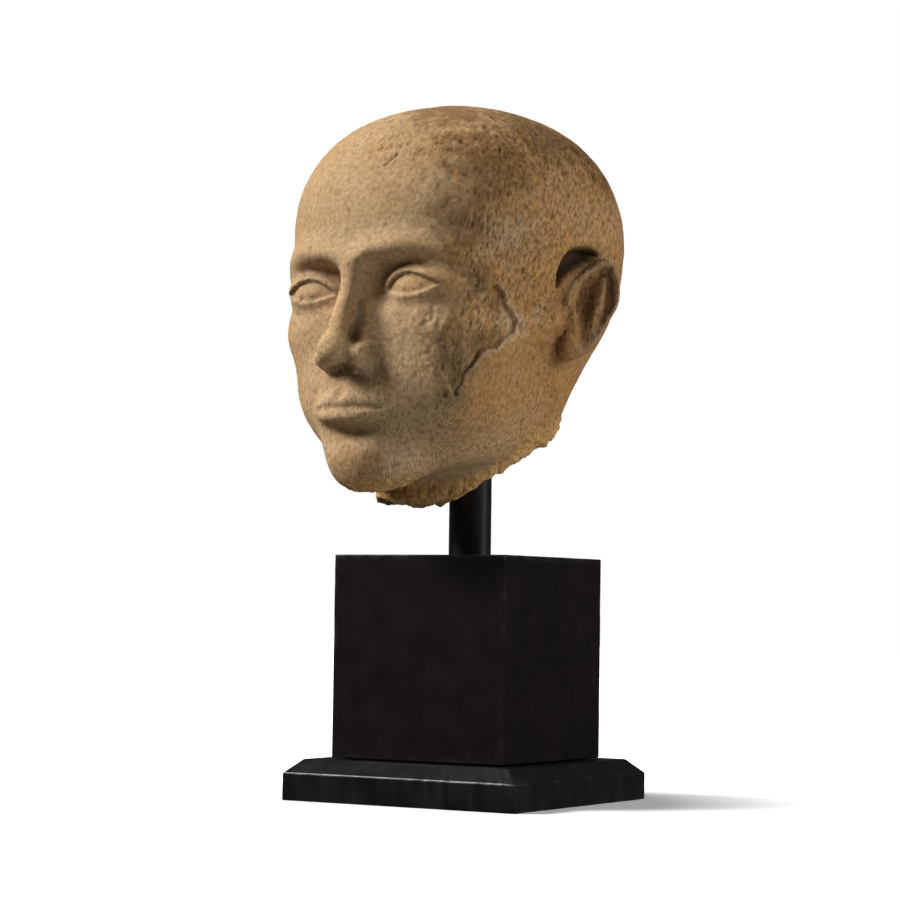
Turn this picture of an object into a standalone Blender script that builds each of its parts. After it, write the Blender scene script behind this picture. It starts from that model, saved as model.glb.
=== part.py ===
# Limestone head of a shaven-headed man, broken at the neck, on a black rod in a wooden plinth.
# Metres, +Z up. The origin is the centre of the plinth's underside, and the plinth's front faces -Y.
import math

import bmesh
import bpy
import numpy as np
from mathutils import Matrix, Vector

# Plinth
SLAB_SIDE = 0.0745
SLAB_THICKNESS = 0.0115
CHAMFER_RUN = 0.0042  # the slope round the slab's top, measured inwards
CHAMFER_DROP = 0.0039  # and downwards
BLOCK_SIDE = 0.055
BLOCK_HEIGHT = 0.0565
EDGE_ROUND = 0.0004
EDGE_SEGMENTS = 2

# Rod
ROD_DIAMETER = 0.012
ROD_X = 0.0
ROD_Y = 0.0
ROD_SEAT = 0.020  # how far it goes down into the block
ROD_SOCKET = 0.018  # how far it goes up into the stone
ROD_SIDES = 48

# Head: its height is from the chin to the crown, and its forms below are shares of that height
HEAD_HEIGHT = 0.108
HEAD_TURN = 6.0  # degrees towards the man's right, off the plinth's front
HEAD_SIDE_SHIFT = -0.0032  # from the rod's axis to the head's own middle
HEAD_BACK_SHIFT = -0.0049
CHIN_RISE = 0.019  # from the block's top to the chin

CLEARANCE = 0.0003  # between pieces that touch

# How finely the stone is meshed
COARSE_FACE = 0.0024
FINE_FACE = 0.0009
HEAD_TRIANGLES = 8400

SLAB_TOP = SLAB_THICKNESS
BLOCK_BOTTOM = SLAB_TOP + CLEARANCE
BLOCK_TOP = BLOCK_BOTTOM + BLOCK_HEIGHT
CHIN_Z = BLOCK_TOP + CHIN_RISE

# Stations of the bare head, from the throat to the widest level: height above the chin, half width,
# front, back, and the roundness of the outline before and behind. All are shares of the head's height.
STATIONS = [
    (-0.15, 0.190, -0.335, 0.08, 1.90, 2.00),
    (0.00, 0.225, -0.375, 0.10, 1.90, 2.00),
    (0.10, 0.270, -0.395, 0.14, 1.92, 2.00),
    (0.20, 0.303, -0.400, 0.21, 1.95, 2.00),
    (0.30, 0.330, -0.403, 0.30, 2.05, 2.05),
    (0.42, 0.362, -0.408, 0.415, 2.15, 2.10),
    (0.54, 0.388, -0.420, 0.482, 2.25, 2.10),
    (0.64, 0.395, -0.425, 0.50, 2.30, 2.10),
]
CROWN_ROUND = 2.25

# Other shares of the head's height
SHARES = {
    "crown_start": 0.64,
    "crown_rise": 0.362,
    "widest_y": 0.03,
    "mean_radius": 0.37,
    "ear_channel_depth": 0.036,
    "break_roughness": 0.014,
    "flake_depth": 0.012,
    "first_ball": 0.6,
}

# The broken surface under the head: how far along, and how high, heading back and to the man's left
BREAK_LINE = [(-0.07, -0.037), (0.07, 0.062), (0.60, 0.370)]
BREAK_HEADING = 25.0  # degrees off straight back

# The flake lost from the left cheek: corners going round, seen from the front left quarter,
# as how far to the right and how high
FLAKE_VIEW = 37.0  # degrees
FLAKE_OUTLINE = [
    (0.107, 0.492), (0.127, 0.475), (0.133, 0.446), (0.149, 0.428), (0.164, 0.410), (0.149, 0.378),
    (0.124, 0.353), (0.110, 0.332), (0.085, 0.329), (0.055, 0.300), (0.038, 0.270), (0.007, 0.207),
    (-0.031, 0.274), (-0.039, 0.358), (0.005, 0.414), (0.061, 0.457),
]


def length(v):
    return np.sqrt((v * v).sum(-1))


def join(a, b, soft):
    """Two forms as one, with a fillet about as wide as soft between them."""
    h = np.maximum(soft - np.abs(a - b), 0) / soft
    return np.minimum(a, b) - h * h * soft / 4


def keep(a, b, soft):
    """What lies in both forms."""
    return -join(-a, -b, soft)


def carve(a, b, soft):
    """The first form with the second cut out of it."""
    return keep(a, -b, soft)


def egg(p, centre, radii):
    q = (p - centre) / radii
    k = length(q)
    return k * (k - 1) / np.maximum(length(q / radii), 1e-9)


def tapered_bar(p, start, end, start_radius, end_radius):
    start = np.asarray(start, float)
    d = np.asarray(end, float) - start
    t = np.clip(((p - start) @ d) / (d @ d), 0, 1)
    return length(p - start - t[:, None] * d) - (start_radius + (end_radius - start_radius) * t)


def strand(p, points, radii):
    """A bent bar through the points."""
    bars = zip(points, points[1:], radii, radii[1:])
    return np.minimum.reduce([tapered_bar(p, *bar) for bar in bars])


def smooth_path(points, steps):
    """A Catmull-Rom curve through the points."""
    given = np.asarray(points, float)
    padded = np.vstack([2 * given[0] - given[1], given, 2 * given[-1] - given[-2]])
    path = []
    for a, b, c, d in zip(padded, padded[1:], padded[2:], padded[3:]):
        for t in np.arange(steps) / steps:
            path.append(0.5 * (2 * b + (c - a) * t + (2 * a - 5 * b + 4 * c - d) * t**2
                               + (3 * b - a - 3 * c + d) * t**3))
    return np.array(path + [given[-1]])


def turned(p, centre, degrees, axis):
    """Points turned about a centre, so that a form there lies turned the other way."""
    angle = math.radians(degrees)
    i, j = [(1, 2), (2, 0), (0, 1)][axis]
    q = p - np.asarray(centre)
    r = q.copy()
    r[:, i] = q[:, i] * math.cos(angle) - q[:, j] * math.sin(angle)
    r[:, j] = q[:, i] * math.sin(angle) + q[:, j] * math.cos(angle)
    return r + np.asarray(centre)


def lumps(p, size, seed):
    """Smooth random relief between -1 and 1, with lumps of the given size."""
    q = p / size + seed * 17.31
    cell = np.floor(q).astype(np.int64)
    t = q - cell
    t = t * t * (3 - 2 * t)
    total = np.zeros(len(p))
    for corner in range(8):
        step = np.array([corner & 1, corner >> 1 & 1, corner >> 2 & 1])
        x, y, z = (cell + step).T
        mixed = (x * 374761393 + y * 668265263 + z * 2147483647 + seed * 974711) & 0xFFFFFFFF
        mixed = ((mixed ^ (mixed >> 13)) * 1274126177) & 0xFFFFFFFF
        value = ((mixed ^ (mixed >> 16)) & 0xFFFF) / 32767.5 - 1
        total += value * np.where(step, t, 1 - t).prod(1)
    return total


def station(z, column):
    """One column of the stations at heights z, on a smooth curve."""
    heights = np.array([row[0] for row in STATIONS])
    values = np.array([row[column] for row in STATIONS])
    slopes = np.gradient(values, heights)
    z = np.clip(z, heights[0], heights[-1])
    i = np.clip(np.searchsorted(heights, z) - 1, 0, len(heights) - 2)
    gap = heights[i + 1] - heights[i]
    t = (z - heights[i]) / gap
    return ((2 * t**3 - 3 * t**2 + 1) * values[i] + (t**3 - 2 * t**2 + t) * gap * slopes[i]
            + (3 * t**2 - 2 * t**3) * values[i + 1] + (t**3 - t**2) * gap * slopes[i + 1])


def skull(p):
    crown_start, widest_y = SHARES["crown_start"], SHARES["widest_y"]
    z = np.minimum(p[:, 2], crown_start)
    width, front, back, front_round, back_round = (station(z, column) for column in range(1, 6))
    before = p[:, 1] < widest_y
    depth = np.where(before, widest_y - front, back - widest_y)
    power = np.where(before, front_round, back_round)
    plan = (np.abs(p[:, 0] / width) ** power + np.abs((p[:, 1] - widest_y) / depth) ** power) ** (1 / power)
    rise = np.maximum(p[:, 2] - crown_start, 0) / SHARES["crown_rise"]
    return ((plan**CROWN_ROUND + rise**CROWN_ROUND) ** (1 / CROWN_ROUND) - 1) * SHARES["mean_radius"]


def under_jaw(p):
    """Grows below a plane that climbs from the chin to the throat."""
    down = np.array([0.0, 0.26, -1.0])
    return (p - np.array([0, -0.36, 0.0])) @ (down / math.hypot(*down))


def neck(p):
    q = turned(p, (0, 0.06, 0), -8, 0)
    around = np.sqrt((q[:, 0] / 0.245) ** 2 + ((q[:, 1] - 0.085) / 0.265) ** 2)
    return np.maximum((around - 1) * 0.24, q[:, 2] - 0.45)


def cheeks_and_chin(p, s, f):
    f = join(f, egg(s, (0.205, -0.262, 0.385), (0.090, 0.100, 0.075)), 0.12)
    f = join(f, egg(s, (0.165, -0.200, 0.235), (0.125, 0.165, 0.135)), 0.08)
    f = join(f, egg(p, (0, -0.315, 0.205), (0.145, 0.130, 0.125)), 0.10)
    return join(f, egg(p, (0, -0.332, 0.060), (0.096, 0.092, 0.068)), 0.09)


def brow(s, f):
    arch = smooth_path([(0, -0.410, 0.546), (0.07, -0.418, 0.560), (0.155, -0.398, 0.576),
                        (0.24, -0.330, 0.562), (0.29, -0.25, 0.522)], 3)
    f = join(f, strand(s, arch, np.linspace(0.028, 0.016, len(arch))), 0.07)
    f = carve(f, egg(s, (0.155, -0.452, 0.500), (0.105, 0.072, 0.050)), 0.05)
    return carve(f, egg(s, (0.072, -0.452, 0.487), (0.032, 0.060, 0.050)), 0.05)


def nose(p, s, f):
    form = tapered_bar(p, (0, -0.408, 0.548), (0, -0.484, 0.350), 0.020, 0.027)
    form = join(form, tapered_bar(s, (0.004, -0.380, 0.52), (0.040, -0.418, 0.325), 0.026, 0.032), 0.03)
    form = join(form, egg(p, (0, -0.492, 0.321), (0.040, 0.042, 0.035)), 0.03)
    form = join(form, egg(s, (0.054, -0.440, 0.307), (0.033, 0.048, 0.032)), 0.026)
    f = join(f, form, 0.028)
    return carve(f, egg(s, (0.030, -0.464, 0.277), (0.016, 0.028, 0.013)), 0.012)


def ease(t):
    """From 0 to 1 as t goes from 0 to 1, without corners."""
    t = np.clip(t, 0, 1)
    return t * t * (3 - 2 * t)


def eyes(s, f):
    """An eyeball in each socket, raised all round the opening to make the lids."""
    inner, outer = 0.082, 0.242
    centre = (0.162, -0.306, 0.487)
    ball = egg(turned(s, centre, -10, 2), centre, (0.104, 0.096, 0.064))
    across = np.clip((s[:, 0] - inner) / (outer - inner), 0, 1)
    level = 0.478 + 0.010 * across
    arc = np.sin(math.pi * across**0.85)
    upper = level + 0.033 * arc
    lower = level - 0.021 * np.sin(math.pi * across**1.15)
    upper_lid = 0.014 * ease((s[:, 2] - upper) / 0.008 + 0.5)
    lower_lid = 0.010 * ease((lower - s[:, 2]) / 0.008 + 0.5)
    crease = 0.008 * arc * np.exp(-(((s[:, 2] - upper - 0.030) / 0.007) ** 2))
    return join(f, ball - upper_lid - lower_lid + crease, 0.016)


def mouth(p, s, f):
    upper = smooth_path([(0, -0.456, 0.197), (0.024, -0.456, 0.203), (0.060, -0.441, 0.197),
                         (0.094, -0.416, 0.188), (0.116, -0.390, 0.184)], 3)
    lower = smooth_path([(0, -0.449, 0.161), (0.040, -0.444, 0.162), (0.078, -0.422, 0.169),
                         (0.106, -0.397, 0.179)], 3)
    line = smooth_path([(0, -0.480, 0.180), (0.050, -0.468, 0.182), (0.090, -0.442, 0.181),
                        (0.122, -0.408, 0.184)], 3)
    fullness = 1 - np.linspace(0, 1, len(upper)) ** 2
    f = join(f, strand(s, upper, 0.005 + 0.013 * fullness), 0.022)
    fullness = 1 - np.linspace(0, 1, len(lower)) ** 2
    f = join(f, strand(s, lower, 0.006 + 0.018 * fullness), 0.024)
    f = carve(f, strand(s, line, np.linspace(0.008, 0.006, len(line))), 0.008)
    f = carve(f, tapered_bar(p, (0, -0.462, 0.262), (0, -0.474, 0.218), 0.008, 0.010), 0.022)
    f = carve(f, egg(p, (0, -0.446, 0.120), (0.075, 0.024, 0.014)), 0.04)
    return carve(f, tapered_bar(s, (0.082, -0.448, 0.308), (0.136, -0.430, 0.212), 0.008, 0.006), 0.035)


# Across the ear, as it stands: out, back and up from its middle, and each point's radius last
EAR_MIDDLE = np.array([0.376, 0.045, 0.452])
EAR_RIM = [(-0.001, -0.060, 0.005, 0.012), (0.001, -0.062, 0.034, 0.013), (-0.001, -0.036, 0.074, 0.014),
           (-0.005, 0.005, 0.110, 0.014), (-0.007, 0.038, 0.128, 0.014), (-0.004, 0.060, 0.106, 0.014),
           (-0.003, 0.073, 0.070, 0.014), (-0.005, 0.074, 0.025, 0.014), (-0.011, 0.056, -0.020, 0.014),
           (-0.017, 0.036, -0.066, 0.013), (-0.025, 0.010, -0.104, 0.012)]
EAR_CHANNEL = [(0, -0.102, 0.036, 0.010), (0, -0.092, 0.080, 0.024), (0, -0.062, 0.116, 0.032),
               (0, -0.024, 0.138, 0.028), (0, 0.014, 0.150, 0.018), (0, 0.038, 0.150, 0.010)]


def in_ear(p):
    s = np.column_stack([np.abs(p[:, 0]), p[:, 1], p[:, 2]])
    return turned(turned(s, EAR_MIDDLE, 28, 2), EAR_MIDDLE, 8, 0) - EAR_MIDDLE


def strand_with_radii(q, path):
    return strand(q, path[:, :3], path[:, 3])


def ear_channel(p):
    """How deep the channel before and above the ear is sunk, once the rest is formed."""
    q = in_ear(p)
    flat = q * (0, 1, 1)
    rim = smooth_path(EAR_RIM, 3) * (0, 1, 1, 1)
    into = -strand_with_radii(flat, smooth_path(EAR_CHANNEL, 3))
    beside_rim = strand_with_radii(flat, rim)
    return SHARES["ear_channel_depth"] * ease(into / 0.022) * ease(beside_rim / 0.014) * ease((q[:, 0] + 0.06) / 0.02)


def ear(s, f):
    """The shell, its rim, its hollows and the fold between them."""
    q = in_ear(s)
    bowl = [(0.036, 0.016, 0.088, 0.014), (0.038, 0.002, 0.060, 0.025), (0.038, -0.008, 0.018, 0.031),
            (0.034, 0.000, -0.040, 0.021), (0.030, -0.002, -0.084, 0.010)]
    groove = [(0.036, 0.044, 0.100, 0.005), (0.038, 0.055, 0.066, 0.007), (0.036, 0.056, 0.020, 0.007),
              (0.030, 0.042, -0.024, 0.005)]
    fold = [(0.022, 0.036, 0.086, 0.008), (0.024, 0.036, 0.040, 0.010), (0.020, 0.028, -0.012, 0.010),
            (0.016, 0.022, -0.052, 0.008)]
    rim, bowl, groove, fold = (smooth_path(path, 3) for path in (EAR_RIM, bowl, groove, fold))
    upright = np.array([0.3, 1, 1, 1])  # the rim's section is three times as deep as it is wide
    form = egg(q, (0, 0.008, 0.012), (0.028, 0.070, 0.122))
    form = join(form, strand_with_radii(q * upright[:3], rim * upright), 0.014)
    form = join(form, egg(q, (0.006, -0.028, -0.100), (0.024, 0.036, 0.036)), 0.02)
    f = join(f, form, 0.008)
    f = carve(f, strand_with_radii(q, bowl), 0.010)
    f = join(f, strand_with_radii(q, fold), 0.010)
    f = carve(f, strand_with_radii(q, groove), 0.005)
    return carve(f, tapered_bar(q, (0.064, -0.092, -0.085), (0.062, -0.080, -0.160), 0.012, 0.024), 0.006)


def inside_outline(u, v, outline):
    """Distance into a closed outline, negative outside it."""
    near = np.full(len(u), 9.0)
    inside = np.zeros(len(u), bool)
    for (au, av), (bu, bv) in zip(outline, outline[1:] + outline[:1]):
        eu, ev = bu - au, bv - av
        t = np.clip(((u - au) * eu + (v - av) * ev) / (eu * eu + ev * ev), 0, 1)
        near = np.minimum(near, np.hypot(u - au - t * eu, v - av - t * ev))
        crosses = (av > v) != (bv > v)
        inside ^= crosses & (u < au + (v - av) * eu / (ev if ev else 1e-9))
    return np.where(inside, near, -near)


def flake_depth(p):
    """How deep the lost flake is: steep at the ear's side, fading towards the nose."""
    wander = 0.004 * lumps(p, 0.022, 3)
    angle = math.radians(FLAKE_VIEW)
    across = p[:, 0] * math.cos(angle) + p[:, 1] * math.sin(angle)
    facing = p[:, 0] * math.sin(angle) - p[:, 1] * math.cos(angle) > SHARES["mean_radius"] / 2
    into = inside_outline(across + wander, p[:, 2] - wander, FLAKE_OUTLINE)
    left = min(u for u, v in FLAKE_OUTLINE)
    fade = np.clip((across - left) / (max(u for u, v in FLAKE_OUTLINE) - left) * 2, 0, 1)
    return np.where(facing, SHARES["flake_depth"] * np.clip(into / 0.008, 0, 1) * fade, 0)


def break_height(x, y):
    """Flat at the front, then climbing towards the nape."""
    angle = math.radians(BREAK_HEADING)
    return np.interp(y * math.cos(angle) + x * math.sin(angle), *zip(*BREAK_LINE))


def neck_break(p):
    """Grows below the broken surface under the head."""
    rough = 0.6 * lumps(p, 0.09, 5) + 0.7 * lumps(p, 0.035, 6)
    return 0.8 * (break_height(p[:, 0], p[:, 1]) - p[:, 2]) + SHARES["break_roughness"] * rough


def stone(p):
    """Negative inside the carved stone, positive outside it. The flake and the ears' channels come later."""
    s = np.column_stack([np.abs(p[:, 0]), p[:, 1], p[:, 2]])
    f = keep(skull(p), under_jaw(p), 0.07)
    f = join(f, neck(p), 0.05)
    f = cheeks_and_chin(p, s, f)
    f = brow(s, f)
    f = nose(p, s, f)
    f = eyes(s, f)
    f = mouth(p, s, f)
    f = ear(s, f)
    return keep(f, neck_break(p), 0.008)


def outwards(p):
    """The stone's value at the points and which way it grows."""
    probe = 0.002
    f = stone(p)
    return f, np.column_stack([(stone(p + probe * axis) - f) / probe for axis in np.eye(3)])


def get_points(mesh):
    flat = np.empty(len(mesh.vertices) * 3)
    mesh.vertices.foreach_get("co", flat)
    return flat.reshape(-1, 3)


def set_points(mesh, p):
    mesh.vertices.foreach_set("co", p.ravel())
    mesh.update()


def carve_to_form(mesh, rounds, longest_step):
    """Moves a mesh's points onto the surface of the stone."""
    p = get_points(mesh)
    for _ in range(rounds):
        f, slope = outwards(p)
        step = -(f / np.maximum((slope**2).sum(1), 0.25))[:, None] * slope
        p = p + step * np.minimum(1, longest_step / np.maximum(length(step), 1e-9))[:, None]
    set_points(mesh, p)


def sink_flake_and_channels(mesh):
    p = get_points(mesh)
    slope = outwards(p)[1]
    depth = flake_depth(p) + ear_channel(p)
    set_points(mesh, p - slope * (depth / np.maximum(length(slope), 1e-9))[:, None])


def apply_modifier(obj, kind, **settings):
    modifier = obj.modifiers.new(kind.title(), kind)
    for name, value in settings.items():
        setattr(modifier, name, value)
    with bpy.context.temp_override(object=obj, active_object=obj, selected_objects=[obj]):
        bpy.ops.object.modifier_apply(modifier=modifier.name)


def material(name, colour, roughness, metallic=0.0):
    made = bpy.data.materials.new(name)
    made.use_nodes = True
    shader = made.node_tree.nodes["Principled BSDF"]
    shader.inputs["Base Color"].default_value = (*colour, 1)
    shader.inputs["Roughness"].default_value = roughness
    shader.inputs["Metallic"].default_value = metallic
    return made


def add_object(name, bm, finish):
    mesh = bpy.data.meshes.new(name)
    bm.to_mesh(mesh)
    bm.free()
    obj = bpy.data.objects.new(name, mesh)
    bpy.context.scene.collection.objects.link(obj)
    if finish:
        mesh.materials.append(finish)
    return obj


def cylinder(name, diameter, bottom, top, finish=None):
    """A round bar that stands on the rod's axis."""
    bm = bmesh.new()
    bmesh.ops.create_cone(bm, cap_ends=True, segments=ROD_SIDES, radius1=diameter / 2, radius2=diameter / 2,
                          depth=top - bottom)
    obj = add_object(name, bm, finish)
    obj.location = (ROD_X, ROD_Y, (top + bottom) / 2)
    return obj


def cutter(name, diameter, bottom, top):
    obj = cylinder(name, diameter, bottom, top)
    obj.hide_render = True
    obj.display_type = "WIRE"
    return obj


def cut_with(obj, tool):
    cut = obj.modifiers.new("Socket", "BOOLEAN")
    cut.operation = "DIFFERENCE"
    cut.object = tool


def make_slab():
    """A square slab, sloped round its top."""
    bm = bmesh.new()
    bmesh.ops.create_cube(bm, size=1)
    side_height = SLAB_THICKNESS - CHAMFER_DROP
    bmesh.ops.scale(bm, vec=(SLAB_SIDE, SLAB_SIDE, side_height), verts=bm.verts)
    bmesh.ops.translate(bm, vec=(0, 0, side_height / 2), verts=bm.verts)
    top = max(bm.faces, key=lambda face: face.calc_center_median().z)
    bmesh.ops.inset_region(bm, faces=[top], thickness=CHAMFER_RUN, use_even_offset=True)
    bmesh.ops.translate(bm, vec=(0, 0, CHAMFER_DROP), verts=top.verts)
    obj = add_object("plinth_slab", bm, material("black_gloss_wood", (0.012, 0.013, 0.015), 0.25))
    round_edges(obj)
    return obj


def make_block():
    bm = bmesh.new()
    bmesh.ops.create_cube(bm, size=1)
    bmesh.ops.scale(bm, vec=(BLOCK_SIDE, BLOCK_SIDE, BLOCK_HEIGHT), verts=bm.verts)
    obj = add_object("plinth_block", bm, material("ebonised_wood", (0.016, 0.012, 0.010), 0.45))
    obj.location = (0, 0, (BLOCK_BOTTOM + BLOCK_TOP) / 2)
    round_edges(obj)
    seat = cutter("rod_seat", ROD_DIAMETER + 2 * CLEARANCE, BLOCK_TOP - ROD_SEAT - CLEARANCE,
                  BLOCK_TOP + ROD_DIAMETER)
    cut_with(obj, seat)
    return obj


def round_edges(obj):
    bevel = obj.modifiers.new("Edges", "BEVEL")
    bevel.width = EDGE_ROUND
    bevel.segments = EDGE_SEGMENTS


def head_matrix():
    """From shares of the head's height to the row's metres."""
    turn = Matrix.Rotation(math.radians(-HEAD_TURN), 4, "Z")
    middle = Vector((ROD_X + HEAD_SIDE_SHIFT, ROD_Y + HEAD_BACK_SHIFT, CHIN_Z))
    return Matrix.Translation(middle) @ turn @ Matrix.Scale(HEAD_HEIGHT, 4)


def socket_mouth():
    """The height at which the rod's axis meets the broken surface."""
    on_axis = head_matrix().inverted() @ Vector((ROD_X, ROD_Y, CHIN_Z))
    return CHIN_Z + HEAD_HEIGHT * break_height(on_axis.x, on_axis.y)


def make_head():
    bm = bmesh.new()
    bmesh.ops.create_icosphere(bm, subdivisions=5, radius=SHARES["first_ball"])
    bmesh.ops.translate(bm, vec=(0, 0.03, 0.5), verts=bm.verts)
    obj = add_object("limestone_head", bm, material("limestone", (0.42, 0.29, 0.165), 0.85))
    carve_to_form(obj.data, rounds=14, longest_step=0.06)
    for face_size in (COARSE_FACE, FINE_FACE):
        apply_modifier(obj, "REMESH", mode="VOXEL", voxel_size=face_size / HEAD_HEIGHT)
        carve_to_form(obj.data, rounds=5, longest_step=0.015)
    sink_flake_and_channels(obj.data)
    triangles = sum(len(face.vertices) - 2 for face in obj.data.polygons)
    apply_modifier(obj, "DECIMATE", ratio=min(1, HEAD_TRIANGLES / triangles))
    obj.data.transform(head_matrix())
    obj.data.shade_smooth()
    mouth_z = socket_mouth()
    socket = cutter("rod_socket", ROD_DIAMETER + 2 * CLEARANCE, BLOCK_TOP, mouth_z + ROD_SOCKET + CLEARANCE)
    cut_with(obj, socket)
    return obj


def make_rod():
    obj = cylinder("mount_rod", ROD_DIAMETER, BLOCK_TOP - ROD_SEAT, socket_mouth() + ROD_SOCKET,
                   material("blackened_steel", (0.01, 0.01, 0.01), 0.3, 1.0))
    obj.data.shade_smooth()
    obj.data.set_sharp_from_angle(angle=math.radians(40))
    return obj


def main():
    for obj in list(bpy.data.objects):
        bpy.data.objects.remove(obj)
    make_slab()
    make_block()
    make_rod()
    make_head()


main()
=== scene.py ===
import math

import bmesh
import bpy
import numpy as np
from mathutils import Matrix, Vector


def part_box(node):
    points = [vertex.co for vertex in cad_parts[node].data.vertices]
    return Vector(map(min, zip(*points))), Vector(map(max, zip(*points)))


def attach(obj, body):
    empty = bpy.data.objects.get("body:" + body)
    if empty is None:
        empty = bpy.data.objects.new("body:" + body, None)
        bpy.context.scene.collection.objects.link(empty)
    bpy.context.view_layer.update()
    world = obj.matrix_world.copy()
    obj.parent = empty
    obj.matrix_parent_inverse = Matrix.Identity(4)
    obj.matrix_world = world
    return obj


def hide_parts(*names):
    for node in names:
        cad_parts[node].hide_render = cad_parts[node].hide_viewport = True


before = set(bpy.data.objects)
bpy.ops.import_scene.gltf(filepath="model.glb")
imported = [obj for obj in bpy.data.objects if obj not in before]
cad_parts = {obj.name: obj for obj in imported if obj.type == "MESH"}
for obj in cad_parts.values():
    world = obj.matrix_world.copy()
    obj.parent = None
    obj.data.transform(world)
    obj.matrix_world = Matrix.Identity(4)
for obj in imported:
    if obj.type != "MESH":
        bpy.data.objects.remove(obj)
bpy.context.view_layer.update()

# where the head sits on the rod, in metres
headPlace = {
    "height": 0.108,  # chin to crown
    "turn": 6.0,  # degrees towards its right
    "side": -0.0032,  # from the rod's axis to the head's own middle
    "back": -0.0049,
    "chinAboveBlock": 0.019,
    "rodGap": 0.0006,  # round the rod at the socket's mouth
    "insideBox": 0.00005,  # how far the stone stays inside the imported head's box
}

# all shares of the head's height: 0 at the chin and 1 at the crown, x to the head's left, y to its back
headForm = {
    # height, half width, front, back, roundness of the outline before and behind
    "stations": [
        (-0.15, 0.190, -0.335, 0.08, 1.90, 2.00),
        (0.00, 0.225, -0.375, 0.10, 1.90, 2.00),
        (0.10, 0.270, -0.395, 0.14, 1.92, 2.00),
        (0.20, 0.303, -0.400, 0.21, 1.95, 2.00),
        (0.30, 0.330, -0.403, 0.30, 2.05, 2.05),
        (0.42, 0.362, -0.408, 0.415, 2.15, 2.10),
        (0.54, 0.388, -0.420, 0.482, 2.25, 2.10),
        (0.64, 0.395, -0.425, 0.50, 2.30, 2.10),
    ],
    "crownStart": 0.64,
    "crownRise": 0.362,
    "crownRound": 2.25,
    "widestY": 0.03,
    "meanRadius": 0.37,
    "firstBall": 0.6,
}

# what the stone has lost
damage = {
    "breakLine": [(-0.07, -0.037), (0.07, 0.062), (0.60, 0.370)],  # how far along, and how high
    "breakHeading": 25.0,  # degrees off straight back, towards the head's left
    "breakRoughness": 0.014,
    "flakeView": 37.0,  # degrees round to the left that the flake's outline is seen from
    "flakeOutline": [
        (0.107, 0.492), (0.127, 0.475), (0.133, 0.446), (0.149, 0.428), (0.164, 0.410), (0.149, 0.378),
        (0.124, 0.353), (0.110, 0.332), (0.085, 0.329), (0.055, 0.300), (0.038, 0.270), (0.007, 0.207),
        (-0.031, 0.274), (-0.039, 0.358), (0.005, 0.414), (0.061, 0.457),
    ],
    "flakeDepth": 0.012,
    "flakeGap": 0.006,  # how wide the deep gap along its edge is
}


# distances and smooth unions


def lengthOf(v):
    return np.sqrt((v * v).sum(-1))


def ease(t):
    t = np.clip(t, 0, 1)
    return t * t * (3 - 2 * t)


def join(a, b, soft):
    h = np.maximum(soft - np.abs(a - b), 0) / soft
    return np.minimum(a, b) - h * h * soft / 4


def keep(a, b, soft):  # what lies in both
    return -join(-a, -b, soft)


def carve(a, b, soft):  # the first with the second cut out
    return keep(a, -b, soft)


def egg(p, centre, radii):
    q = (p - centre) / radii
    k = lengthOf(q)
    return k * (k - 1) / np.maximum(lengthOf(q / radii), 1e-9)


def taperedBar(p, start, end, startRadius, endRadius):
    start = np.asarray(start, float)
    d = np.asarray(end, float) - start
    t = np.clip(((p - start) @ d) / (d @ d), 0, 1)
    return lengthOf(p - start - t[:, None] * d) - (startRadius + (endRadius - startRadius) * t)


def strand(p, points, radii):
    bars = zip(points, points[1:], radii, radii[1:])
    return np.minimum.reduce([taperedBar(p, *bar) for bar in bars])


def smoothPath(points, steps):  # a Catmull-Rom curve through the points
    given = np.asarray(points, float)
    padded = np.vstack([2 * given[0] - given[1], given, 2 * given[-1] - given[-2]])
    path = []
    for a, b, c, d in zip(padded, padded[1:], padded[2:], padded[3:]):
        for t in np.arange(steps) / steps:
            path.append(0.5 * (2 * b + (c - a) * t + (2 * a - 5 * b + 4 * c - d) * t**2
                               + (3 * b - a - 3 * c + d) * t**3))
    return np.array(path + [given[-1]])


def turned(p, centre, degrees, axis):
    angle = math.radians(degrees)
    i, j = [(1, 2), (2, 0), (0, 1)][axis]
    q = p - np.asarray(centre)
    r = q.copy()
    r[:, i] = q[:, i] * math.cos(angle) - q[:, j] * math.sin(angle)
    r[:, j] = q[:, i] * math.sin(angle) + q[:, j] * math.cos(angle)
    return r + np.asarray(centre)


# seeded relief


def cellValue(x, y, z, seed):  # one number from 0 to 1 for each whole-numbered cell
    mixed = (x * 374761393 + y * 668265263 + z * 2147483647 + seed * 974711) & 0xFFFFFFFF
    mixed = ((mixed ^ (mixed >> 13)) * 1274126177) & 0xFFFFFFFF
    return ((mixed ^ (mixed >> 16)) & 0xFFFF) / 65535


def lumps(p, size, seed):  # smooth and random, from -1 to 1
    q = p / size + seed * 17.31
    cell = np.floor(q).astype(np.int64)
    t = q - cell
    t = t * t * (3 - 2 * t)
    total = np.zeros(len(p))
    for corner in range(8):
        step = np.array([corner & 1, corner >> 1 & 1, corner >> 2 & 1])
        x, y, z = (cell + step).T
        total += (2 * cellValue(x, y, z, seed) - 1) * np.where(step, t, 1 - t).prod(1)
    return total


def crags(p, size, seed):  # sharp ridges, from 0 to 1
    coarse, fine = (1 - np.abs(lumps(p, size, seed))) ** 2, (1 - np.abs(lumps(p, size / 2.1, seed + 1))) ** 2
    return coarse * 0.65 + fine * 0.35


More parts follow.
